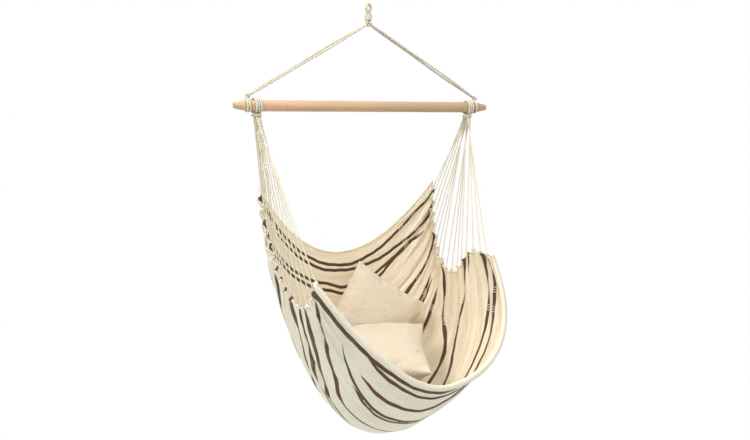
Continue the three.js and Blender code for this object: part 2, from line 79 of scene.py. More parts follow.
class Nodes:
    """A tree of nodes. Each method adds a node and returns its output."""

    def __init__(self, tree):
        self.tree = tree

    def add(self, kind, sockets, output=0, **settings):
        made = self.tree.nodes.new(kind)
        for key, value in settings.items():
            setattr(made, key, value)
        for key, value in sockets.items():
            if isinstance(value, bpy.types.NodeSocket):
                self.tree.links.new(value, made.inputs[key])
            else:
                made.inputs[key].default_value = value
        return made.outputs[output]

    def calc(self, operation, *values):
        sockets = dict(enumerate(values))
        return self.add("ShaderNodeMath", sockets, operation=operation)

    def times(self, first, second):
        return self.calc("MULTIPLY", first, second)

    def times_plus(self, first, second, third):
        """First times second, and third added."""
        return self.calc("MULTIPLY_ADD", first, second, third)

    def mix(self, share, first, second, blend="MIX"):
        sockets = {0: share, 6: first, 7: second}
        settings = {"data_type": "RGBA", "blend_type": blend}
        return self.add("ShaderNodeMix", sockets, 2, **settings)

    def ramp(self, value, low, high, first=0.0, last=1.0):
        """Goes smoothly from first to last as the value goes from low to high."""
        sockets = {0: value, 1: low, 2: high, 3: first, 4: last}
        return self.add("ShaderNodeMapRange", sockets, interpolation_type="SMOOTHSTEP")

    def place(self):
        return self.add("ShaderNodeTexCoord", {}, "Object")

    def flat(self):
        return self.add("ShaderNodeUVMap", {}, uv_map="flat")

    def stored(self, name):
        return self.add("ShaderNodeAttribute", {}, "Fac", attribute_name=name)

    def split(self, vector):
        return self.add("ShaderNodeSeparateXYZ", {0: vector}).node.outputs

    def join(self, x, y, z=0.0):
        return self.add("ShaderNodeCombineXYZ", {0: x, 1: y, 2: z})

    def stretch(self, vector, scale):
        return self.add("ShaderNodeMapping", {"Vector": vector, "Scale": scale})

    def noise(self, vector, scale, detail=3.0, distortion=0.0):
        sockets = {"Vector": vector, "Scale": scale, "Detail": detail, "Distortion": distortion}
        return self.add("ShaderNodeTexNoise", sockets)

    def wave(self, value, pitch):
        """Goes from 0 to 1 and back once a pitch."""
        sine = self.calc("SINE", self.times(value, TURN / pitch))
        return self.times_plus(sine, 0.5, 0.5)

    def near(self, value, centre, half, soft):
        """1 within half of the centre, fading to 0 over soft."""
        away = self.calc("ABSOLUTE", self.calc("SUBTRACT", value, centre))
        return self.ramp(away, half + soft, half - soft)

    def any_of(self, values):
        found = values[0]
        for value in values[1:]:
            found = self.calc("MAXIMUM", found, value)
        return found

    def seen(self):
        """1 for what the camera sees, straight or in gloss or glass, else 0."""
        ray = self.tree.nodes.new("ShaderNodeLightPath").outputs
        return self.any_of([ray[f"Is {kind} Ray"] for kind in ("Camera", "Glossy", "Transmission")])


class Shader(Nodes):
    """One node material."""

    def __init__(self, name, roughness, sheen=0.0, specular=0.5):
        self.material = bpy.data.materials.new(name)
        self.material.use_nodes = True
        super().__init__(self.material.node_tree)
        self.surface = self.tree.nodes["Principled BSDF"]
        self.surface.inputs["Roughness"].default_value = roughness
        self.surface.inputs["Specular IOR Level"].default_value = specular
        self.surface.inputs["Sheen Weight"].default_value = sheen
        self.surface.inputs["Sheen Roughness"].default_value = 0.5

    def finish(self, color, height, depth, strength=1.0, creases=None, crease_depth=0.0):
        """Sets the colour, and the height (0 to 1, times depth in metres) as a bump over creases."""
        self.tree.links.new(color, self.surface.inputs["Base Color"])
        sockets = {"Height": height, "Distance": depth, "Strength": strength}
        if creases is not None:
            broad = {"Height": creases, "Distance": crease_depth, "Strength": 1.0}
            sockets["Normal"] = self.add("ShaderNodeBump", broad)
        bump = self.add("ShaderNodeBump", sockets)
        self.tree.links.new(bump, self.surface.inputs["Normal"])
        return self.material


YARNS_PER_STRAND = 8.0
YARN_SLANT = 1.7


def rope_material(name, light, dark, strands):
    """Twisted cotton: yarns slant over each strand, and the grooves between strands and between yarns
    get painted shade.
    """
    s = Shader(name, 0.92, sheen=0.25, specular=0.2)
    around, along, _ = s.split(s.flat())
    slant = s.times(along, YARN_SLANT)
    yarns = s.times_plus(around, YARNS_PER_STRAND * strands, slant)
    yarn = s.wave(yarns, 1.0)
    crown = s.wave(s.calc("ADD", around, 0.25 / strands), 1.0 / strands)
    place = s.place()
    fuzz = s.noise(place, 900.0, 2.0)
    patch = s.noise(place, 9.0, 2.0)
    # Painted shade: the colour goes from the light tone on the strands' crowns to the dark tone in
    # the grooves, and a little darker between yarns.
    groove = s.ramp(crown, 0.0, 0.45)
    shade = s.times(groove, s.times_plus(yarn, 0.2, 0.8))
    color = s.mix(s.times_plus(shade, 0.6, 0.4), srgb(*dark), srgb(*light))
    color = s.mix(s.ramp(patch, 0.4, 0.7, 0.0, 0.3), color, srgb(250, 240, 214), "MULTIPLY")
    height = s.times_plus(fuzz, 0.35, yarn)
    return s.finish(color, height, 0.0003)


END_GRAIN = (0.5455, 0.5492)
WORN_END = (0.500, 0.545)
RING_PITCH = 0.0021


def wood_material():
    """Oiled beech: soft lines and short flecks along the bar, with darker end grain, and painted
    shade that makes the bar duller and darker towards its right end.
    """
    s = Shader("beech", 0.48, specular=0.35)
    place = s.place()
    lines = s.noise(s.stretch(place, (1.6, 42.0, 42.0)), 2.2, 4.0, 0.6)
    fine = s.noise(s.stretch(place, (14.0, 520.0, 520.0)), 1.0, 3.0)
    flecks = s.ramp(s.noise(s.stretch(place, (60.0, 900.0, 900.0)), 1.0, 1.0), 0.62, 0.72)
    broad = s.noise(s.stretch(place, (2.2, 9.0, 9.0)), 1.0, 2.0)
    color = s.mix(s.ramp(lines, 0.35, 0.68), srgb(212, 176, 142), srgb(196, 158, 122))
    color = s.mix(s.ramp(fine, 0.35, 0.75, 0.0, 0.5), color, srgb(198, 162, 126))
    color = s.mix(s.times(flecks, 0.35), color, srgb(168, 124, 82))
    color = s.mix(s.ramp(broad, 0.35, 0.7, 0.0, 0.45), color, srgb(216, 182, 148))
    along, beside, up = s.split(place)
    # Painted shade: the bar's colour is mixed towards a duller, darker brown from its left end to its
    # right end.
    painted_shade_to_right = s.ramp(along, -0.45, 0.5)
    color = s.mix(painted_shade_to_right, color, s.mix(0.7, color, srgb(172, 152, 124)))
    end = s.ramp(s.calc("ABSOLUTE", along), *END_GRAIN)
    from_axis = s.calc("POWER", s.calc("ADD", up, -BAR_Z * MM), 2.0)
    ring = s.calc("SQRT", s.times_plus(beside, beside, from_axis))
    rings = s.wave(s.times_plus(broad, 0.004, ring), RING_PITCH)
    end_color = s.mix(rings, srgb(150, 132, 110), srgb(178, 158, 132))
    color = s.mix(end, color, end_color)
    worn = s.ramp(s.calc("ABSOLUTE", along), *WORN_END, 0.0, 0.35)
    color = s.mix(worn, color, srgb(176, 150, 122))
    gloss = s.ramp(lines, 0.3, 0.7, 0.42, 0.58)
    s.tree.links.new(gloss, s.surface.inputs["Roughness"])
    height = s.times_plus(fine, 0.6, s.times(lines, 0.4))
    return s.finish(color, height, 0.0004, 0.5)


CLOTH_LENGTH = 1.26
STRIPE_HALF_WIDTH = 0.0067
STRIPE_SOFT = 0.0007
STRIPE_UNEVEN = 0.0024
RIB_BANDS = (0.145, 0.225)
RIB_PITCH = 0.010
RIB_HALF_WIDTH, RIB_SOFT = 0.0012, 0.0006
THREAD_PITCH = 0.0017
STITCH_INSET = 0.0105
STITCH_HALF_WIDTH, STITCH_SOFT = 0.0007, 0.0003
STITCH_PITCH = 0.004


def cloth_material():
    """Cream canvas with pairs of brown stripes, raised ribs near the side hems and stitched hems,
    painted brighter and warmer on the inner face and with painted shade on the outer face.
    """
    s = Shader("striped_canvas", 0.93, sheen=0.12, specular=0.15)
    along, across, edge, inner = (s.stored(n) for n in ("along", "across", "edge", "inner"))
    flat = s.join(across, along)
    uneven = s.calc("SUBTRACT", s.noise(flat, 24.0, 2.0), 0.5)
    away = s.times_plus(uneven, STRIPE_UNEVEN, s.stored("from_stripe"))
    stripe = s.ramp(away, STRIPE_HALF_WIDTH + STRIPE_SOFT, STRIPE_HALF_WIDTH - STRIPE_SOFT)

    ribs = []
    for band in RIB_BANDS:
        for place in (-1, 0, 1):
            ribs.append(s.near(edge, band + place * RIB_PITCH, RIB_HALF_WIDTH, RIB_SOFT))
    rib = s.times(s.any_of(ribs), s.times_plus(inner, 0.9, 0.1))

    weft = s.wave(along, THREAD_PITCH)
    warp = s.wave(across, THREAD_PITCH)
    weave = s.times(weft, warp)
    slub_across = s.noise(s.stretch(flat, (26.0, 420.0, 1.0)), 1.0, 3.0)
    slub_along = s.noise(s.stretch(flat, (420.0, 26.0, 1.0)), 1.0, 3.0)
    slub = s.calc("ADD", s.times(slub_across, 0.6), s.times(slub_along, 0.4))
    patch = s.noise(flat, 5.0, 3.0)

    # Painted light and shade: the canvas is one colour, but its inner face is painted brighter and
    # warmer as if lit, and its outer face greyer and darker as if in shade.
    inside = s.mix(s.ramp(patch, 0.3, 0.7), srgb(254, 242, 217), srgb(251, 236, 209))
    outside = s.mix(s.ramp(patch, 0.3, 0.7), srgb(228, 225, 206), srgb(220, 218, 201))
    ground_with_painted_light_and_shade = s.mix(inner, outside, inside)
    ground_with_painted_light_and_shade = s.mix(s.ramp(slub, 0.35, 0.65, 0.0, 0.22), ground_with_painted_light_and_shade, srgb(214, 196, 160))
    brown = s.mix(s.ramp(slub, 0.35, 0.65), srgb(84, 60, 48), srgb(104, 78, 62))
    shown = s.times(stripe, s.times_plus(rib, -0.85, 1.0))
    color = s.mix(shown, ground_with_painted_light_and_shade, brown)
    color = s.mix(s.times(rib, 0.35), color, srgb(252, 244, 224))

    stitch_row = s.near(edge, STITCH_INSET, STITCH_HALF_WIDTH, STITCH_SOFT)
    stitch_gap = s.ramp(s.wave(along, STITCH_PITCH), 0.25, 0.4)
    stitch = s.times(stitch_row, stitch_gap)
    color = s.mix(s.times(stitch, 0.5), color, srgb(226, 208, 172))

    height = s.times_plus(weave, 0.45, s.times(slub, 0.5))
    height = s.times_plus(rib, 0.9, height)
    height = s.times_plus(stitch, -0.5, height)
    lines = s.noise(s.stretch(flat, (3.4, 30.0, 1.0)), 1.0, 3.0, 0.9)
    slanted = s.noise(s.stretch(flat, (9.0, 13.0, 1.0)), 1.0, 2.0, 1.6)
    near_hem = s.ramp(edge, 0.55, 0.03, 0.35, 1.0)
    creases = s.times(s.times_plus(slanted, 0.6, lines), near_hem)
    return s.finish(color, height, 0.0007, creases=creases, crease_depth=0.016)


def cushion_material():
    """Plain beige canvas with a visible weave and a few slubs."""
    s = Shader("beige_canvas", 0.94, sheen=0.15, specular=0.15)
    flat = s.flat()
    across, along, _ = s.split(flat)
    weave = s.times(s.wave(across, THREAD_PITCH), s.wave(along, THREAD_PITCH))
    slub = s.noise(s.stretch(flat, (30.0, 500.0, 1.0)), 1.0, 3.0)
    slub_along = s.noise(s.stretch(flat, (500.0, 30.0, 1.0)), 1.0, 3.0)
    patch = s.noise(s.place(), 7.0, 3.0)
    color = s.mix(s.ramp(patch, 0.3, 0.7), srgb(226, 213, 190), srgb(220, 206, 182))
    color = s.mix(s.ramp(slub, 0.4, 0.7, 0.0, 0.35), color, srgb(206, 186, 158))
    color = s.mix(s.ramp(slub_along, 0.45, 0.7, 0.0, 0.25), color, srgb(242, 231, 212))
    height = s.times_plus(weave, 0.5, s.times(slub, 0.4))
    creases = s.noise(s.stretch(flat, (9.0, 14.0, 1.0)), 1.0, 2.0, 1.8)
    return s.finish(color, height, 0.0006, creases=creases, crease_depth=0.006)


ROPE_STRANDS, CORD_STRANDS = 4, 2
# The second colour of each cotton is the dark tone of the painted shade in its grooves.
rope_cotton = rope_material("cotton_rope", (228, 220, 201), (210, 201, 180), ROPE_STRANDS)
pale_cotton = rope_material("pale_cotton_cord", (250, 238, 228), (236, 220, 208), CORD_STRANDS)
cord_cottons = [
    rope_material("cotton_cord_a", (247, 238, 214), (233, 221, 193), CORD_STRANDS),
    rope_material("cotton_cord_b", (248, 237, 200), (234, 221, 178), CORD_STRANDS),
    rope_material("cotton_cord_c", (243, 237, 222), (226, 217, 198), CORD_STRANDS),
]
canvas = cloth_material()
beige = cushion_material()
beech = wood_material()


# Lines and meshes


def lengths_of(line):
    """The distance along the line to each of its points."""
    steps = np.linalg.norm(np.diff(line, axis=0), axis=1)
    return np.concatenate([[0.0], np.cumsum(steps)])


def spaced(line, shares):
    """The points at these shares of the line's length."""
    lengths = lengths_of(line)
    at = np.asarray(shares) * lengths[-1]
    return np.stack([np.interp(at, lengths, line[:, axis]) for axis in range(3)], -1)


def evenly(line, step):
    """The line again, with points about a step apart."""
    count = max(int(round(lengths_of(line)[-1] / step)), 2)
    return spaced(line, np.linspace(0, 1, count + 1))


def catmull(points, steps=64):
    """A smooth line through the points."""
    points = np.asarray(points, float)
    ends = np.vstack([2 * points[0] - points[1], points, 2 * points[-1] - points[-2]])
    before, first, last, after = (ends[i : len(ends) - 3 + i, None] for i in range(4))
    t = np.linspace(0, 1, steps, endpoint=False)[None, :, None]
    start, stop = (last - before) / 2, (after - first) / 2
    square = 3 * (last - first) - 2 * start - stop
    cube = 2 * (first - last) + start + stop
    line = first + start * t + square * t**2 + cube * t**3
    return np.vstack([line.reshape(-1, 3), points[-1:]])


def mesh_piece(name, points, faces, material, uvs=None):
    """A smooth shaded mesh from points in millimetres."""
    mesh = bpy.data.meshes.new(name)
    mesh.from_pydata((np.asarray(points) * MM).tolist(), [], faces)
    mesh.materials.append(material)
    mesh.shade_smooth()
    if uvs is not None:
        layer = mesh.uv_layers.new(name="flat")
        layer.data.foreach_set("uv", np.asarray(uvs, np.float32).ravel())
    mesh.update()
    piece = bpy.data.objects.new(name, mesh)
    bpy.context.scene.collection.objects.link(piece)
    return piece


def carried_frames(line):
    """Two sideways directions at each point, carried along the line without spin."""
    tangents = np.gradient(line, axis=0)
    tangents /= np.linalg.norm(tangents, axis=1)[:, None]
    helper = np.array([0, 0, 1.0]) if abs(tangents[0][2]) < 0.9 else np.array([1.0, 0, 0])
    side = np.cross(tangents[0], helper)
    sides = []
    for tangent in tangents:
        side = side - tangent * (side @ tangent)
        side = side / np.linalg.norm(side)
        sides.append(side)
    sides = np.array(sides)
    return sides, np.cross(tangents, sides)


LAY = 3.3
RINGS_PER_TURN = 10
SIDES_PER_STRAND = 6


def twisted(line, diameter, strands=ROPE_STRANDS, sides=None, groove=0.07):
    """Points, faces and flat places of a rope of some strands, laid round the line.

    The columns of the mesh turn with the strands, one turn in LAY diameters.
    """
    sides = sides or SIDES_PER_STRAND * strands
    line = evenly(np.asarray(line, float), LAY * diameter / RINGS_PER_TURN)
    lengths = lengths_of(line)
    first, second = carried_frames(line)
    around = np.arange(sides) / sides
    lobes = 1 - groove + groove * np.abs(np.cos(strands * math.pi * around))
    radius = diameter / 2 * lobes
    angle = TURN * (around[None, :] + lengths[:, None] / (LAY * diameter))
    offset = np.cos(angle)[..., None] * first[:, None] + np.sin(angle)[..., None] * second[:, None]
    points = (line[:, None] + offset * radius[None, :, None]).reshape(-1, 3)
    faces, uvs = [], []
    for ring in range(len(line) - 1):
        low, high = lengths[ring] / diameter, lengths[ring + 1] / diameter
        for side in range(sides):
            other = (side + 1) % sides
            a, b = ring * sides + side, ring * sides + other
            faces.append((a, b, b + sides, a + sides))
            left, right = side / sides, (side + 1) / sides
            uvs += [(left, low), (right, low), (right, high), (left, high)]
    last = (len(line) - 1) * sides
    faces.append(tuple(range(sides - 1, -1, -1)))
    faces.append(tuple(range(last, last + sides)))
    uvs += [(0.0, 0.0)] * sides + [(0.0, lengths[-1] / diameter)] * sides
    return points, faces, uvs, line


def joined(parts):
    """Several meshes' points, faces and flat places as one."""
    points, faces, uvs, start = [], [], [], 0
    for part_points, part_faces, part_uvs, _ in parts:
        points.append(part_points)
        faces += [tuple(corner + start for corner in face) for face in part_faces]
        uvs += part_uvs
        start += len(part_points)
    return np.vstack(points), faces, uvs


def rope_piece(name, parts, material, body, nodes=()):
    """One piece made of twisted parts, in place of these nodes."""
    points, faces, uvs = joined(parts)
    piece = mesh_piece(name, points, faces, material, uvs)
    if nodes:
        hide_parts(*nodes)
    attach(piece, body)
    return piece


def declared_rope(node, line, diameter, material, body, slot, stiffness, **look):
    """A taut cord in place of one node."""
    part = twisted(line, diameter, **look)
    piece = rope_piece(node + "_laid", [part], material, body, [node])


def node_points(node):
    """A CAD node's corners, each once, in millimetres."""
    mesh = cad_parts[node].data
    points = np.zeros(len(mesh.vertices) * 3)
    mesh.vertices.foreach_get("co", points)
    return np.unique((points.reshape(-1, 3) / MM).round(3), axis=0)


def tied_knot(centre, axis, scale, diameter):
    """A small overhand knot that lies across the axis."""
    t = np.linspace(0, TURN, 73)
    across = (2 + np.cos(3 * t)) * scale
    flat = np.stack([across * np.cos(2 * t), across * np.sin(2 * t), 1.5 * scale * np.sin(3 * t)], 1)
    axis = Vector(axis).normalized()
    turned = np.array(axis.to_track_quat("Z", "X").to_matrix())
    return twisted(flat @ turned.T + np.asarray(centre), diameter, sides=12)


def winding_line(centre, radii, pitch, turns, first_angle, lies_along="x"):
    """A helix round the X axis or the Z axis, as the CAD winds it."""
    share = np.linspace(0, 1, int(48 * turns) + 1)
    angle = first_angle + TURN * turns * share
    radius = radii[0] + (radii[1] - radii[0]) * share
    climb = pitch * turns * (share - 0.5)
    if lies_along == "x":
        points = np.stack([climb, radius * np.sin(angle), -radius * np.cos(angle)], 1)
    else:
        points = np.stack([radius * np.cos(angle), radius * np.sin(angle), climb], 1)
    return points + np.asarray(centre, float)


# Ropes above the bar

ROPE_DIAMETER = 8.0
ROPE_PITCH = 8.6
EYE_REACH = 11.0
EYE_LEG_Z = (-55.65, -42.15, -28.65)
EYE_WIDEST_Z = -12.9
EYE_SHOULDER_Z, EYE_SHOULDER_SHARE = -3.6, 0.72
EYE_SPARE = 0.3
WHIPPING_Z = -47.4
WHIPPING_RADIUS = 12.38
WHIPPING_CORD = 4.0
WHIPPING_PITCH, WHIPPING_TURNS = 4.6, 5
KNOT_Z = -71.0
APEX_KNOT_SCALE, APEX_KNOT_ROPE = 3.6, 7.8
HITCH_X = 496.4
HITCH_RADIUS = 21.3
HITCH_TURNS = {"left": 2, "right": 1}
HITCH_KNOT_Z = -351.8
HITCH_KNOT_SCALE, HITCH_KNOT_ROPE = 2.4, 7.0
HARNESS_X = 463.0
HARNESS_RADIUS = 25.6
HARNESS_TURNS = 3
INSIDE_APEX, INSIDE_HITCH_KNOT = 9.0, 6.0
GATHERED_SHARE, FREE_SHARE = 0.6, 0.4
PAIR_HALF_GAP, PAIR_WAVER = 3.4, 1.2
HANDS = (("left", -1), ("right", 1))


def eye_strand(node, side):
    """One strand of the hanging eye, along the CAD's points."""
    leg, y = ROPE_PITCH / 2, side * ROPE_PITCH / 2
    half = [(-leg, y, z) for z in EYE_LEG_Z]
    half += [(-EYE_REACH, y, EYE_WIDEST_Z), (-EYE_REACH * EYE_SHOULDER_SHARE, y, EYE_SHOULDER_Z)]
    mirrored = [(-x, y, z) for x, y, z in reversed(half)]
    line = catmull([*half, (0, y, ROPE_DIAMETER / 2), *mirrored], 24)
    declared_rope(node, line, ROPE_DIAMETER - EYE_SPARE, rope_cotton, "eye", "rope", "medium")


eye_strand("hanging_eye_front_strand", -1)
eye_strand("hanging_eye_back_strand", 1)

whipping_radii = (WHIPPING_RADIUS, WHIPPING_RADIUS)
whipping = winding_line((0, 0, WHIPPING_Z), whipping_radii, WHIPPING_PITCH, WHIPPING_TURNS, 0, "z")
whipping_part = twisted(whipping, WHIPPING_CORD, strands=CORD_STRANDS, sides=12)
rope_piece("neck_wrap", [whipping_part], pale_cotton, "neck", ["neck_whipping"])

apex = np.array([0, 0, KNOT_Z])
apex_parts = [tied_knot(apex, (0.25, 1, 0.1), APEX_KNOT_SCALE, APEX_KNOT_ROPE)]
rope_piece("apex_tied_knot", apex_parts, rope_cotton, "knot", ["apex_knot"])


def suspension_strand(node, side, depth_side):
    """A strand from inside the apex knot to inside the hitch knot, a little apart from its twin."""
    foot = np.array([side * HITCH_X, 0, HITCH_KNOT_Z])
    along = (foot - apex) / np.linalg.norm(foot - apex)
    beside = np.array([0, depth_side * ROPE_PITCH / 2, 0])
    start = apex + INSIDE_APEX * along + GATHERED_SHARE * beside
    end = foot - INSIDE_HITCH_KNOT * along + GATHERED_SHARE * beside
    share = np.linspace(0, 1, 41)[:, None]
    line = start + (end - start) * share
    line += beside * FREE_SHARE * np.sin(math.pi * share) ** 0.5
    above = np.array([-along[2], 0, along[0]]) * side
    waver = PAIR_WAVER * np.sin(TURN * (1.5 * share + 0.2 * side))
    apart = -side * depth_side * (PAIR_HALF_GAP + waver)
    line += above * apart * np.sin(math.pi * share) ** 0.6
    declared_rope(node, line, ROPE_DIAMETER, rope_cotton, "suspension", "rope", "medium")


def bar_winding(node, x, radius, turns, first_angle, body):
    """A rope wound round the bar, in place of its node."""
    line = winding_line((x, 0, BAR_Z), (radius, radius), ROPE_PITCH, turns, first_angle)
    part = twisted(line, ROPE_DIAMETER)
    rope_piece(node + "_turns", [part], rope_cotton, body, [node])


for hand, side in HANDS:
    for depth, depth_side in (("front", -1), ("back", 1)):
        suspension_strand(f"{hand}_{depth}_suspension_strand", side, depth_side)

for hand, side in HANDS:
    hitch_x, harness_x = side * HITCH_X, side * HARNESS_X
    turns = HITCH_TURNS[hand]
    bar_winding(f"{hand}_bar_hitch", hitch_x, HITCH_RADIUS, turns, math.pi, "suspension")
    knot_place = (hitch_x, 0, HITCH_KNOT_Z)
    knot = tied_knot(knot_place, (0.4, 1, 0.1), HITCH_KNOT_SCALE, HITCH_KNOT_ROPE)
    node = f"{hand}_hitch_knot"
    rope_piece(node + "_tied", [knot], rope_cotton, "suspension", [node])
    bar_winding(f"{hand}_harness_eye", harness_x, HARNESS_RADIUS, HARNESS_TURNS, 0, "seat")

for bar_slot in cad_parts["spreader_bar"].material_slots:
    bar_slot.material = beech


# Cloth: the surface of the CAD source, in a finer grid

SEAT_WIDTH = 800.0
SEAT_DEPTH = 700.0
SEAT_DROP = 1230.0
LEFT_EDGE = [
    (-1, 0.214, 0.251),
    (-0.994, 0.137, 0.378),
    (-0.971, -0.043, 0.52),
    (-0.957, -0.214, 0.577),
    (-0.962, -0.393, 0.569),
    (-0.986, -0.544, 0.492),
]
RIGHT_EDGE = [
    (1.003, 0.239, 0.248),
    (1.001, 0.236, 0.385),
    (0.998, 0.143, 0.525),
    (0.987, -0.029, 0.547),
    (0.975, -0.2, 0.469),
    (0.963, -0.417, 0.471),
]
MIDDLE = [
    (0.009, 0.376, 0.488),
    (0.032, 0.364, 0.647),
    (0.002, 0.264, 0.825),
    (-0.014, 0.029, 0.969),
    (0.024, -0.257, 1),
    (0.129, -0.5, 0.934),
    (0.233, -0.647, 0.819),
]
LEFT_DRAPE, RIGHT_DRAPE = (2, 1.3, 2.3), (2, 1, 0.95)
LEFT_BULGE, RIGHT_BULGE = (0, 0.02, 0.06), (0, 0.1, 0.06)
SAG_DEPTH, SAG_SHARE, SAG_PLACE = 24.0, 0.38, 0.62
SIDE_HEM, BACK_HEM, FRONT_ROLL = 8.0, 7.0, 24.0
HEM_FADE = 1.5
HEM_STEPS, ROLL_STEPS = 6, 9
CLOTH_THICK, RIM_THICK = 1.8, 0.5
CLOTH_ROWS, CLOTH_COLUMNS = 288, 210
FAN_CORDS = 16
PLEAT_DEPTH, PLEAT_REACH = 8.0, 190.0
PUCKER_DEPTH, PUCKER_REACH = 2.4, 45.0
FLAT_FRONT_START, FLAT_FRONT_OVER = 0.48, 0.1
BACK_CALM = 0.025
SIDE_FOLDS, LEFT_SEED, RIGHT_SEED = 11, 11, 12
APRON_START, APRON_DEPTH = 0.880, 8.0
APRON_LAP, APRON_FADE, APRON_REACH = 0.004, 0.045, 0.22
WAVE_DEPTH = 1.6
# The middle lines of the stripes, from the back to the front. First the shares of the way from the
# left hem to the right hem where each begins and ends. Then its points: that share, and the share
# of the way from the back rim to the front rim.
STRIPES = [
    (0, 1, [(0, 0.046), (0.4, 0.045), (0.57, 0.048), (0.85, 0.036), (1, 0.064)]),
    (0.02, 1, [(0, 0.074), (0.4, 0.066), (0.57, 0.068), (0.78, 0.088), (0.84, 0.102), (1, 0.15)]),
    (0, 0.93, [(0, 0.17), (0.4, 0.116), (0.52, 0.122), (0.78, 0.112), (0.89, 0.147), (1, 0.17)]),
    (0.06, 0.86, [(0, 0.19), (0.4, 0.138), (0.52, 0.144), (0.66, 0.134), (0.78, 0.118), (1, 0.176)]),
    (0, 1, [(0, 0.295), (0.3, 0.262), (0.5, 0.256), (0.78, 0.266), (0.94, 0.285), (1, 0.29)]),
    (0.08, 0.9, [(0, 0.315), (0.3, 0.284), (0.5, 0.279), (0.7, 0.276), (0.82, 0.272), (1, 0.292)]),
    (0, 0.91, [(0, 0.425), (0.07, 0.45), (0.3, 0.4), (0.5, 0.372), (0.82, 0.346), (1, 0.35)]),
    (0, 0.91, [(0, 0.475), (0.07, 0.476), (0.3, 0.424), (0.5, 0.395), (0.82, 0.366), (1, 0.368)]),
    (0, 0.92, [(0, 0.548), (0.1, 0.545), (0.3, 0.512), (0.5, 0.49), (0.78, 0.436), (1, 0.425)]),
    (0, 0.88, [(0, 0.615), (0.05, 0.65), (0.11, 0.655), (0.3, 0.57), (0.5, 0.518), (0.68, 0.468),
        (0.8, 0.434), (1, 0.427)]),
    (0, 1, [(0, 0.712), (0.1, 0.712), (0.2, 0.68), (0.5, 0.62), (0.78, 0.592), (0.87, 0.516),
        (1, 0.47)]),
    (0, 0.88, [(0, 0.785), (0.1, 0.76), (0.17, 0.733), (0.25, 0.695), (0.5, 0.646), (0.7, 0.612),
        (0.79, 0.588), (0.87, 0.516), (1, 0.472)]),
    (0, 1, [(0, 0.93), (0.02, 0.915), (0.1, 0.842), (0.19, 0.785), (0.26, 0.757), (0.32, 0.758),
        (0.41, 0.78), (0.53, 0.755), (0.69, 0.69), (0.83, 0.648), (0.95, 0.715), (1, 0.735)]),
    (0.93, 1, [(0.9, 0.68), (0.94, 0.71), (0.97, 0.765), (1, 0.785)]),
    (0.21, 1, [(0.15, 0.87), (0.22, 0.845), (0.29, 0.823), (0.35, 0.82), (0.44, 0.836),
        (0.64, 0.826), (0.73, 0.836), (0.85, 0.872), (0.97, 0.915), (1, 0.92)]),
    (0.12, 1, [(0.1, 0.95), (0.134, 0.922), (0.178, 0.882), (0.25, 0.846), (0.32, 0.836),
        (0.38, 0.843), (0.5, 0.856), (0.67, 0.866), (0.73, 0.882), (0.85, 0.918),
        (0.98, 0.958), (1, 0.962)]),
    (0.21, 0.84, [(0.15, 0.905), (0.22, 0.897), (0.3, 0.89), (0.38, 0.896), (0.5, 0.916),
        (0.6, 0.937), (0.7, 0.963), (0.84, 0.99)]),
    (0.22, 0.74, [(0.15, 0.956), (0.24, 0.956), (0.35, 0.952), (0.44, 0.952), (0.58, 0.957),
        (0.74, 0.99)]),
    (0, 0.7, [(0, 0.95), (0.1, 0.96), (0.2, 0.966), (0.3, 0.972), (0.4, 0.974), (0.56, 0.975),
        (0.7, 0.991)]),
]
STRIPE_TAPER, STRIPE_END_GAP = 0.06, 8.0
BROAD_WAVE, BROAD_WAVE_LENGTH = 1.2, 190.0
FINE_WAVE, FINE_WAVE_LENGTH = 0.7, 71.0
STRIPE_WIDENING = 2.2
FAR_FROM_STRIPES = 60.0


def seat_place(shares):
    """Points in millimetres from shares of the seat's width, depth and drop."""
    across, along, down = np.asarray(shares, float).T
    return np.stack([across * SEAT_WIDTH / 2, along * SEAT_DEPTH, BAR_Z - down * SEAT_DROP], -1)


def through_three(values, v):
    """A curve through a value at the back rim, one half-way and one at the front rim."""
    back, middle, front = values
    return back * (1 - v) * (1 - 2 * v) + 4 * middle * v * (1 - v) + front * v * (2 * v - 1)


def cloth_rows(v):
    """The smooth rows from side edge to side edge, for each share v from the back rim."""
    lines = (catmull(seat_place(shares)) for shares in (LEFT_EDGE, RIGHT_EDGE, MIDDLE))
    left, right, middle = (spaced(line, v)[:, None] for line in lines)
    centre = (left + right) / 2
    angle = np.linspace(-math.pi / 2, math.pi / 2, 401)[None, :]
    v = v[:, None]
    on_left = angle < 0
    drape = np.where(on_left, through_three(LEFT_DRAPE, v), through_three(RIGHT_DRAPE, v))
    bulge = np.where(on_left, through_three(LEFT_BULGE, v), through_three(RIGHT_BULGE, v))
    reach = np.sin(angle) + bulge * np.sin(2 * angle)
    droop = np.maximum(np.cos(angle), 0) ** drape
    rows = centre + (right - centre) * reach[..., None] + (middle - centre) * droop[..., None]
    share = angle / math.pi + 0.5
    from_sag = ((share - SAG_SHARE) / 0.1) ** 2 + ((v - SAG_PLACE) / 0.14) ** 2
    rows[..., 2] -= SAG_DEPTH * np.exp(-from_sag)
    return rows


def bead(inset, diameter, fade):
    """The cloth's thickness this far in from a hem: a round bead that fades into plain cloth."""
    rounded = 2 * np.sqrt(np.clip(inset * (diameter - inset), 0, None))
    beyond = np.clip((inset - diameter / 2) / (fade - diameter / 2), 0, 1)
    level = diameter + (CLOTH_THICK - diameter) * beyond**2 * (3 - 2 * beyond)
    return np.where(inset < diameter / 2, np.maximum(rounded, RIM_THICK), level)


def bead_insets(diameter, fade, count):
    """Places across a hem's bead: close together where it turns."""
    turned = diameter / 2 * (1 - np.cos(np.linspace(0, math.pi / 2, count)))
    return np.concatenate([turned, np.linspace(diameter / 2, fade, count)[1:]])


def grid_normals(grid):
    """The outward direction at each point of a grid of rows."""
    across = np.gradient(grid, axis=1)
    forward = np.gradient(grid, axis=0)
    normals = np.cross(across, forward)
    return normals / np.linalg.norm(normals, axis=2)[..., None]


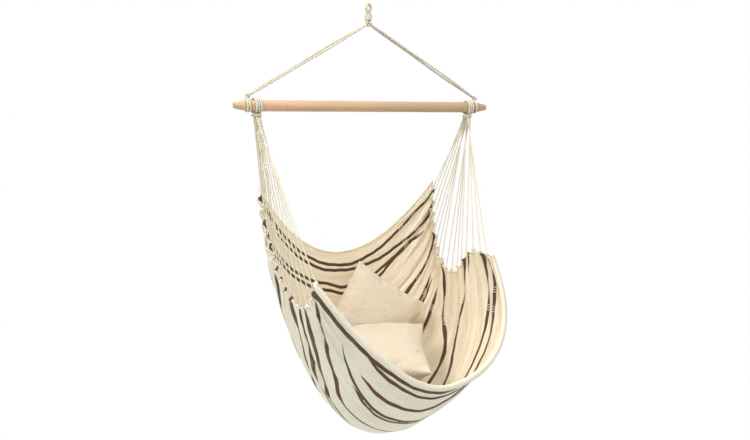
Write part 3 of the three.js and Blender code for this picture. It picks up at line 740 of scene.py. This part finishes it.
def folds_at(hem_share, seed, v, edge, share):
    """Soft folds that start near one side hem and run along the stripes, each with its own place."""
    random = np.random.default_rng(seed)
    total = np.zeros(np.broadcast(v, share).shape)
    from_hem = np.abs(share - hem_share)
    for number in range(SIDE_FOLDS):
        place = (number + 0.5 + random.uniform(-0.35, 0.35)) / SIDE_FOLDS
        drift = random.uniform(-0.16, 0.16)
        width = random.uniform(0.012, 0.022)
        height = random.uniform(4.0, 9.0) * random.choice([-0.8, 1.0, 1.0])
        reach = random.uniform(0.16, 0.34)
        centre = place + drift * from_hem + 0.01 * np.sin(TURN * (2 * share + place))
        ridge = 1 / np.cosh((v - centre) / (width * (1 + 2.2 * from_hem))) ** 2
        fade = (1 - np.exp(-((edge / 55) ** 2))) * np.exp(-((from_hem / reach) ** 2))
        total += height * ridge * fade
    return total


# Single folds: place from the back rim, drift, width, height, and the shares of the way from the
# left hem to the right hem where each starts and ends. A height below zero is a groove.
BROAD_FOLDS = [
    (0.7, 0.09, 0.018, 9.0, 0.1, 0.62),
    (0.76, 0.06, 0.012, -7.0, 0.1, 0.52),
    (0.915, 0.02, 0.011, -4.0, 0.1, 0.8),
    (0.62, 0.12, 0.014, 8.0, 0.1, 0.5),
    (0.235, 0.0, 0.006, 7.0, 0.62, 1.3),
    (0.352, 0.0, 0.006, 7.0, 0.62, 1.3),
    (0.402, 0.0, 0.006, 7.0, 0.6, 1.3),
    (0.44, 0.0, 0.006, 8.0, 0.58, 1.3),
    (0.472, 0.0, 0.007, 9.0, 0.55, 1.3),
    (0.63, -0.04, 0.01, 6.0, 0.6, 1.3),
    (0.8, -0.02, 0.012, 6.0, 0.62, 1.3),
    (0.602, 0.0, 0.007, -7.0, -0.3, 0.36),
    (0.707, 0.0, 0.007, -7.0, -0.3, 0.38),
    (0.842, 0.0, 0.007, -6.0, -0.3, 0.34),
]


def broad_folds(v, share):
    """How far the single folds stand out."""
    total = np.zeros(np.broadcast(v, share).shape)
    for place, drift, width, height, start, end in BROAD_FOLDS:
        centre = place + drift * np.sin(math.pi * share)
        ridge = 1 / np.cosh((v - centre) / width) ** 2
        rise = np.clip((share - start) / 0.12, 0, 1)
        fall = np.clip((end - share) / 0.25, 0, 1)
        total += height * ridge * rise**2 * (3 - 2 * rise) * fall**2 * (3 - 2 * fall)
    return total


def fold_depths(v, edge, share):
    """How far the cloth stands out from its smooth rows: pleats at the cords, and soft folds."""
    near = np.exp(-((edge / PLEAT_REACH) ** 2))
    hem = np.exp(-((edge / PUCKER_REACH) ** 2))
    uneven = 1 + 0.25 * np.sin(TURN * 3.7 * v + 5 * share)
    flat_front = np.clip((v - FLAT_FRONT_START) / FLAT_FRONT_OVER, 0, 1)
    pleats = PLEAT_DEPTH * np.cos(TURN * FAN_CORDS * v) * near * uneven * (1 - 0.55 * flat_front)
    puckers = PUCKER_DEPTH * np.cos(TURN * 2 * FAN_CORDS * v + 1.1) * hem
    left_folds = folds_at(0.0, LEFT_SEED, v, edge, share) * (1 - 0.35 * flat_front)
    right_folds = folds_at(1.0, RIGHT_SEED, v, edge, share)
    past = v - APRON_START
    lapped = np.clip(past / APRON_LAP, 0, 1) * np.exp(-np.clip(past, 0, None) / APRON_FADE)
    apron = APRON_DEPTH * lapped * np.exp(-((share / APRON_REACH) ** 2))
    broad = broad_folds(v, share) + apron
    waves = WAVE_DEPTH * np.sin(TURN * (5.3 * v + 1.3 * share)) * np.sin(TURN * (2.2 * share + 0.4))
    past_corner = np.clip(v / BACK_CALM, 0, 1)
    gathered = past_corner * (pleats + puckers)
    return gathered + left_folds + right_folds + broad + waves * np.sin(math.pi * v)


middle_length = lengths_of(catmull(seat_place(MIDDLE)))[-1]
hem_rows = bead_insets(BACK_HEM, HEM_FADE * BACK_HEM, HEM_STEPS) / middle_length
roll_rows = 1 - bead_insets(FRONT_ROLL, FRONT_ROLL, ROLL_STEPS)[::-1] / middle_length
even_rows = np.arange(1, CLOTH_ROWS) / CLOTH_ROWS
kept_rows = even_rows[(even_rows > hem_rows[-1]) & (even_rows < roll_rows[0])]
row_places = np.concatenate([hem_rows, kept_rows, roll_rows])


def from_stripes(v, rows, share):
    """How far each grid point is from the nearest stripe's middle line, in millimetres."""
    steps = np.linalg.norm(np.diff(rows, axis=0), axis=2)
    length = np.vstack([np.zeros(steps.shape[1]), np.cumsum(steps, axis=0)])
    half = len(rows) // 2
    column = lengths_of(rows[half])
    nearest = np.full(length.shape, FAR_FROM_STRIPES)
    for number, (start, end, points) in enumerate(STRIPES):
        curve = catmull([(at, place, 0.0) for at, place in points])
        ahead = v - np.interp(share, curve[:, 0], curve[:, 1])
        line = np.array([np.interp(0, ahead[:, i], length[:, i]) for i in range(len(column))])
        line += BROAD_WAVE * np.sin(TURN * (column / BROAD_WAVE_LENGTH + 0.31 * (number // 2)))
        line += FINE_WAVE * np.sin(TURN * (column / FINE_WAVE_LENGTH + 0.43 * number))
        away = np.abs(length - line) / np.sqrt(1 + np.gradient(line, column) ** 2)
        if start == 0:
            outside_left = np.clip((0.26 - share) / 0.1, 0, 1) * (v > 0.5) * (v < 0.94)
            away -= STRIPE_WIDENING * outside_left
        before = np.clip((start + STRIPE_TAPER - share) / STRIPE_TAPER, 0, 1) * (start > 0)
        after = np.clip((share - end + STRIPE_TAPER) / STRIPE_TAPER, 0, 1) * (end < 1)
        nearest = np.minimum(nearest, away + STRIPE_END_GAP * (before + after))
    return nearest


def cloth_grid():
    """Middle points, directions out, thickness and stored values of the pleated cloth."""
    side_insets = bead_insets(SIDE_HEM, HEM_FADE * SIDE_HEM, HEM_STEPS)
    smooth, at_all, totals = [], [], []
    for row in cloth_rows(row_places):
        total = lengths_of(row)[-1]
        inner = np.linspace(side_insets[-1], total - side_insets[-1], CLOTH_COLUMNS)[1:-1]
        at = np.concatenate([side_insets, inner, total - side_insets[::-1]])
        smooth.append(spaced(row, at / total))
        at_all.append(at)
        totals.append(total)
    smooth, at, total = np.array(smooth), np.array(at_all), np.array(totals)[:, None]
    v = row_places[:, None]
    edge = np.minimum(at, total - at)
    folds = fold_depths(v, edge, at / total)
    points = smooth + grid_normals(smooth) * folds[..., None]
    thick = bead(edge, SIDE_HEM, HEM_FADE * SIDE_HEM)
    thick = np.maximum(thick, bead(v * middle_length, BACK_HEM, HEM_FADE * BACK_HEM))
    thick = np.maximum(thick, bead((1 - v) * middle_length, FRONT_ROLL, FRONT_ROLL))
    stripes = from_stripes(v, smooth, at / total)
    return points, grid_normals(points), thick, {
        "along": CLOTH_LENGTH * v + 0 * at,
        "from_stripe": stripes * MM,
        "across": at * MM,
        "edge": edge * MM,
    }


def cloth_piece(points, normals, thick, stored_values):
    """The closed shell of the cloth, with a round rim, and what its material reads."""
    rows, columns = thick.shape
    outer = points + normals * thick[..., None] / 2
    inner = points - normals * thick[..., None] / 2
    count = rows * columns
    corner = np.arange(count).reshape(rows, columns)
    a, b, c, d = corner[:-1, :-1], corner[:-1, 1:], corner[1:, 1:], corner[1:, :-1]
    out_faces = np.stack([a, d, c, b], -1).reshape(-1, 4)[:, ::-1]
    in_faces = np.stack([a, d, c, b], -1).reshape(-1, 4) + count
    rim = np.concatenate([corner[0, :-1], corner[:-1, -1], corner[-1, :0:-1], corner[:0:-1, 0]])
    after = np.roll(rim, -1)
    rim_faces = np.stack([after, rim, rim + count, after + count], -1)
    faces = np.vstack([out_faces, in_faces, rim_faces]).tolist()
    all_points = np.vstack([outer.reshape(-1, 3), inner.reshape(-1, 3)])
    piece = mesh_piece("seat_cloth_draped", all_points, faces, canvas)
    values = {name: np.tile(value.ravel(), 2) for name, value in stored_values.items()}
    values["inner"] = np.repeat([0.0, 1.0], count)
    for name, value in values.items():
        stored = piece.data.attributes.new(name, "FLOAT", "POINT")
        stored.data.foreach_set("value", value.astype(np.float32))
    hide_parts("seat_cloth")
    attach(piece, "seat")


# Fans of cords, from each bundle under the bar to a knot on the side hem

FAN_CORD_DIAMETER = 4.6
FAN_CORD_SPARE = 0.2
FAN_CORD_SWAY = 1.2
FAN_KNOT_RADIUS = 5.0
FAN_KNOT_SCALE, FAN_KNOT_CORD = 1.6, 4.4
HEM_COLUMN = {"left": 5, "right": -6}
LOOP_CORD = 3.8
LOOP_LIFT, LOOP_TWIST = 1.2, 1.3
LOOP_HEIGHT, LOOP_WIDTH = 6.8, 5.8
BINDING_CORD = 3.0
BINDING_PITCH, BINDING_TURNS = 3.6, 2
BINDING_END = 3.0


def fan_ends(node):
    """A fan cord's top and the middle of its end knot, from its CAD solid."""
    points = node_points(node)
    top = points[points[:, 2].argmax()]
    for _ in range(3):
        bottom = points[np.linalg.norm(points - top, axis=1).argmax()]
        direction = (top - bottom) / np.linalg.norm(top - bottom)
        height = points @ direction
        top = points[height > height.max() - 0.4].mean(axis=0)
    return top, bottom + direction * FAN_KNOT_RADIUS, direction


def hem_loop(hem, tangent, towards):
    """A turn of cord round the hem's bead, towards the knot."""
    tangent = tangent / np.linalg.norm(tangent)
    up = towards - tangent * (towards @ tangent)
    up /= np.linalg.norm(up)
    side = np.cross(tangent, up)
    angle = np.linspace(0, TURN, 33)[:, None]
    centre = hem + LOOP_LIFT * up
    line = centre + LOOP_HEIGHT * up * np.cos(angle) + LOOP_WIDTH * side * np.sin(angle)
    line = line + tangent * LOOP_TWIST * np.sin(angle / 2)
    return twisted(line, LOOP_CORD, strands=CORD_STRANDS, sides=8)


def fan(hand, cloth_points):
    """The cords of one side, their end knots and their turns round the hem."""
    column = HEM_COLUMN[hand]
    knots = []
    for number in range(FAN_CORDS):
        node = f"{hand}_fan_cord_{number + 1:02d}"
        top, knot, direction = fan_ends(node)
        share = np.linspace(0, 1, 25)[:, None]
        sway = np.array([math.sin(2.4 * number), math.cos(1.7 * number), 0.0])
        line = top + (knot - top) * share + FAN_CORD_SWAY * sway * np.sin(math.pi * share) * share
        material = cord_cottons[(number * 5 + (hand == "right")) % len(cord_cottons)]
        look = {"strands": CORD_STRANDS, "sides": 12, "groove": 0.09}
        shown = FAN_CORD_DIAMETER - FAN_CORD_SPARE
        declared_rope(node, line, shown, material, "seat", "cord", "limp", **look)
        knots.append(tied_knot(knot, direction, FAN_KNOT_SCALE, FAN_KNOT_CORD))
        row = int(np.abs(row_places - (number + 0.5) / FAN_CORDS).argmin())
        hem = cloth_points[row, column]
        tangent = cloth_points[row + 2, column] - cloth_points[row - 2, column]
        knots.append(hem_loop(hem, tangent, direction))
    rope_piece(f"{hand}_fan_knots", knots, cord_cottons[0], "seat")


def fan_binding(hand, side):
    """The turns of cord that gather a fan's bundle, as wide above and below as their CAD solid."""
    node = f"{hand}_fan_binding"
    points = node_points(node)
    away = np.hypot(points[:, 0] - side * HARNESS_X, points[:, 1])
    low, high = points[:, 2].min(), points[:, 2].max()
    wide = away[points[:, 2] < low + BINDING_END].max() - BINDING_CORD / 2
    narrow = away[points[:, 2] > high - BINDING_END].max() - BINDING_CORD / 2
    centre = (side * HARNESS_X, 0, (low + high) / 2)
    line = winding_line(centre, (wide, narrow), BINDING_PITCH, BINDING_TURNS, 0, "z")
    part = twisted(line, BINDING_CORD, strands=CORD_STRANDS, sides=10)
    rope_piece(node + "_turns", [part], cord_cottons[0], "seat", [node])


cloth = cloth_grid()
for hand, side in HANDS:
    fan(hand, cloth[0])
    fan_binding(hand, side)
cloth_piece(*cloth)


# Cushions: two squares of canvas sewn together and filled

CUSHION_CELLS = 40
CLOSER_AT_SEAMS = 0.25
SQUARES_HALF_GAP = 4.0
FULLNESS = 0.42
DRAWN_IN = 0.05
SLACK_CANVAS = {
    "vertex_group_mass": "seam",
    "quality": 6,
    "mass": 0.2,
    "tension_stiffness": 12,
    "compression_stiffness": 10,
    "shear_stiffness": 4,
    "bending_stiffness": 0.12,
    "air_damping": 5,
    "shrink_min": -0.045,
    "use_pressure": True,
    "uniform_pressure_force": 1.6,
}


def sewn_squares(side):
    """Two flat squares that share their edges: points, faces, flat places and which are the seam."""
    even = np.linspace(-1, 1, CUSHION_CELLS + 1)
    line = (1 - CLOSER_AT_SEAMS) * even + CLOSER_AT_SEAMS * np.sin(even * math.pi / 2)
    a, b = np.meshgrid(line, line, indexing="ij")
    rim = np.maximum(np.abs(a), np.abs(b)) > 0.9999
    height = SQUARES_HALF_GAP * (1 - a**8) * (1 - b**8)
    top = np.stack([a * side / 2, b * side / 2, height], -1).reshape(-1, 3)
    under = top * (1, 1, -1)
    number = np.arange(top.shape[0])
    under_number = np.where(rim.ravel(), number, 0)
    under_number[~rim.ravel()] = len(top) + np.arange((~rim).sum())
    corner = number.reshape(a.shape)
    low = under_number.reshape(a.shape)
    faces, uvs = [], []
    for grid, turned in ((corner, False), (low, True)):
        for i in range(CUSHION_CELLS):
            for j in range(CUSHION_CELLS):
                face = [(i, j), (i + 1, j), (i + 1, j + 1), (i, j + 1)]
                face = face[::-1] if turned else face
                faces.append([int(grid[place]) for place in face])
                uvs += [(a[place] * side / 2 * MM, b[place] * side / 2 * MM) for place in face]
    points = np.vstack([top, under[~rim.ravel()]])
    return points, faces, uvs, np.concatenate([rim.ravel(), np.zeros((~rim).sum(), bool)])


def crowned(points, side, crowns):
    """The filled shape before the canvas settles on it."""
    a, b = points[:, 0] / (side / 2), points[:, 1] / (side / 2)
    full = (np.clip(1 - a**2, 0, 1) * np.clip(1 - b**2, 0, 1)) ** FULLNESS
    filled = points.copy()
    filled[:, 0] *= 1 - DRAWN_IN * (1 - b**2)
    filled[:, 1] *= 1 - DRAWN_IN * (1 - a**2)
    filled[:, 2] = np.where(points[:, 2] > 0, crowns[0], -crowns[1]) * full
    return filled


def inflated(piece, filled, rim, frames=20):
    """The points of the piece after a cloth simulation: slack canvas round a filling, seams held."""
    piece.data.vertices.foreach_set("co", (filled * MM).ravel())
    seam = piece.vertex_groups.new(name="seam")
    seam.add([int(index) for index in np.flatnonzero(rim)], 1.0, "REPLACE")
    cloth = piece.modifiers.new("fill", "CLOTH")
    for setting, value in SLACK_CANVAS.items():
        setattr(cloth.settings, setting, value)
    cloth.settings.effector_weights.gravity = 0
    cloth.point_cache.frame_start = 1
    cloth.point_cache.frame_end = frames
    scene = bpy.context.scene
    for number in range(1, frames + 1):
        scene.frame_set(number)
    evaluated = piece.evaluated_get(bpy.context.evaluated_depsgraph_get())
    points = np.zeros(len(piece.data.vertices) * 3)
    evaluated.data.vertices.foreach_get("co", points)
    piece.modifiers.remove(cloth)
    piece.vertex_groups.remove(seam)
    scene.frame_set(1)
    return points.reshape(-1, 3) / MM


def kept_inside(points, node, spare=0.6):
    """The points, with those outside the CAD solid moved just inside its surface."""
    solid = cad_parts[node]
    tree = BVHTree.FromObject(solid, bpy.context.evaluated_depsgraph_get())
    kept = points.copy()
    for index, point in enumerate(points * MM):
        place, normal, _, _ = tree.find_nearest(Vector(point))
        if (Vector(point) - place).dot(normal) > -spare * MM:
            kept[index] = np.array(place - normal * spare * MM) / MM
    return kept


def cushion(node, body, side, crowns, turns, centre_shares):
    """A filled cushion in the space of its CAD solid. crowns are in front or on top, and behind."""
    points, faces, uvs, rim = sewn_squares(side)
    piece = mesh_piece(node + "_filled", points, faces, beige, uvs)
    filled = crowned(points, side, crowns)
    filled = inflated(piece, filled, rim)
    swollen = filled[:, 2].max() / crowns[0], -filled[:, 2].min() / crowns[1]
    filled[:, 2] /= np.where(filled[:, 2] > 0, *swollen)
    matrix = Matrix.Identity(3)
    for axis, degrees in turns:
        matrix = Matrix.Rotation(math.radians(degrees), 3, axis) @ matrix
    placed = filled @ np.array(matrix).T + seat_place([centre_shares])[0]
    placed = kept_inside(placed, node)
    piece.data.vertices.foreach_set("co", (placed * MM).ravel())
    piece.data.update()
    smooth = piece.modifiers.new("even", "SUBSURF")
    smooth.levels = smooth.render_levels = 1
    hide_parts(node)
    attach(piece, body)


BACK_SIDE, SEAT_SIDE = 355, 430
BACK_CROWNS, SEAT_CROWNS = (62, 112), (66, 120)
BACK_TURNS = (("Z", -35), ("X", 77), ("Z", -8))
SEAT_TURNS = (("Z", -28), ("X", 10), ("Y", -8))
BACK_CENTRE, SEAT_CENTRE = (0.212, 0.163, 0.706), (-0.045, -0.105, 0.77)
cushion("back_cushion", "back_pillow", BACK_SIDE, BACK_CROWNS, BACK_TURNS, BACK_CENTRE)
cushion("seat_cushion", "seat_pillow", SEAT_SIDE, SEAT_CROWNS, SEAT_TURNS, SEAT_CENTRE)


# Studio: a pale floor that fades into white, soft light from the front left, and a white world

FLOOR_Z = -2.12
FLOOR_RINGS, FLOOR_SIDES = (0.6, 1.2, 2.0, 4.0, 9.0), 64
FLOOR_FADES = (0.5, 1.08)
WORLD_BELOW, WORLD_ABOVE = 0.22, 0.84
SEAT_MIDDLE = (0, 0, -1.1)


def floor_material():
    """Pale grey that takes the shadow, and fades into white where the camera sees it."""
    s = Shader("pale_floor", 0.85, specular=0.1)
    place = s.place()
    x, y, _ = s.split(place)
    away = s.calc("SQRT", s.times_plus(x, x, s.times(y, y)))
    grain = s.noise(place, 3.0, 2.0)
    color = s.mix(grain, srgb(246, 245, 243), srgb(240, 239, 237))
    s.tree.links.new(color, s.surface.inputs["Base Color"])
    share = s.times(s.ramp(away, *FLOOR_FADES), s.seen())
    white = s.add("ShaderNodeEmission", {"Color": (1, 1, 1, 1), "Strength": 1.0})
    mixed = s.add("ShaderNodeMixShader", {0: share, 1: s.surface.outputs[0], 2: white})
    output = s.tree.nodes["Material Output"]
    s.tree.links.new(mixed, output.inputs["Surface"])
    return s.material


def floor_piece():
    """A round floor of rings round its middle point."""
    points, faces = [(0, 0, FLOOR_Z / MM)], []
    for radius in FLOOR_RINGS:
        for side in range(FLOOR_SIDES):
            angle = TURN * side / FLOOR_SIDES
            x, y = radius / MM * math.cos(angle), radius / MM * math.sin(angle)
            points.append((x, y, FLOOR_Z / MM))
    for ring in range(len(FLOOR_RINGS)):
        start = 1 + ring * FLOOR_SIDES
        for side in range(FLOOR_SIDES):
            a, b = start + side, start + (side + 1) % FLOOR_SIDES
            faces.append((0, a, b) if ring == 0 else (a - FLOOR_SIDES, a, b, b - FLOOR_SIDES))
    floor = mesh_piece("floor", points, faces, floor_material())


def soft_light(name, place, size, power, color):
    """A round lamp of this size that faces the seat."""
    data = bpy.data.lights.new(name, "AREA")
    data.shape = "DISK"
    data.size = size
    data.energy = power
    data.color = color
    light = bpy.data.objects.new(name, data)
    light.location = place
    direction = Vector(SEAT_MIDDLE) - Vector(place)
    light.rotation_euler = direction.to_track_quat("-Z", "Y").to_euler()
    bpy.context.scene.collection.objects.link(light)


def white_world():
    """White where the camera sees it, and a soft light that is stronger from above."""
    world = bpy.data.worlds.new("studio")
    world.use_nodes = True
    bpy.context.scene.world = world
    s = Nodes(world.node_tree)
    s.tree.nodes.clear()
    up = s.split(s.add("ShaderNodeTexCoord", {}, "Generated"))["Z"]
    limits = {1: -0.8, 2: 0.9, 3: WORLD_BELOW, 4: WORLD_ABOVE}
    strength = s.add("ShaderNodeMapRange", {0: up, **limits})
    light = s.add("ShaderNodeBackground", {"Color": (0.96, 0.985, 1.0, 1), "Strength": strength})
    white = s.add("ShaderNodeBackground", {"Color": (1, 1, 1, 1), "Strength": 1.0})
    mixed = s.add("ShaderNodeMixShader", {0: s.seen(), 1: light, 2: white})
    output = s.tree.nodes.new("ShaderNodeOutputWorld")
    s.tree.links.new(mixed, output.inputs["Surface"])


floor_piece()
white_world()
soft_light("key", (-2.8, -0.5, 1.7), 1.6, 84, (1.0, 0.97, 0.92))
soft_light("fill", (-0.6, -2.4, 2.5), 1.6, 68, (1.0, 0.985, 0.96))
soft_light("back", (0.6, 2.8, 1.2), 2.0, 18, (1.0, 0.98, 0.95))
bpy.context.scene.view_settings.view_transform = "Standard"
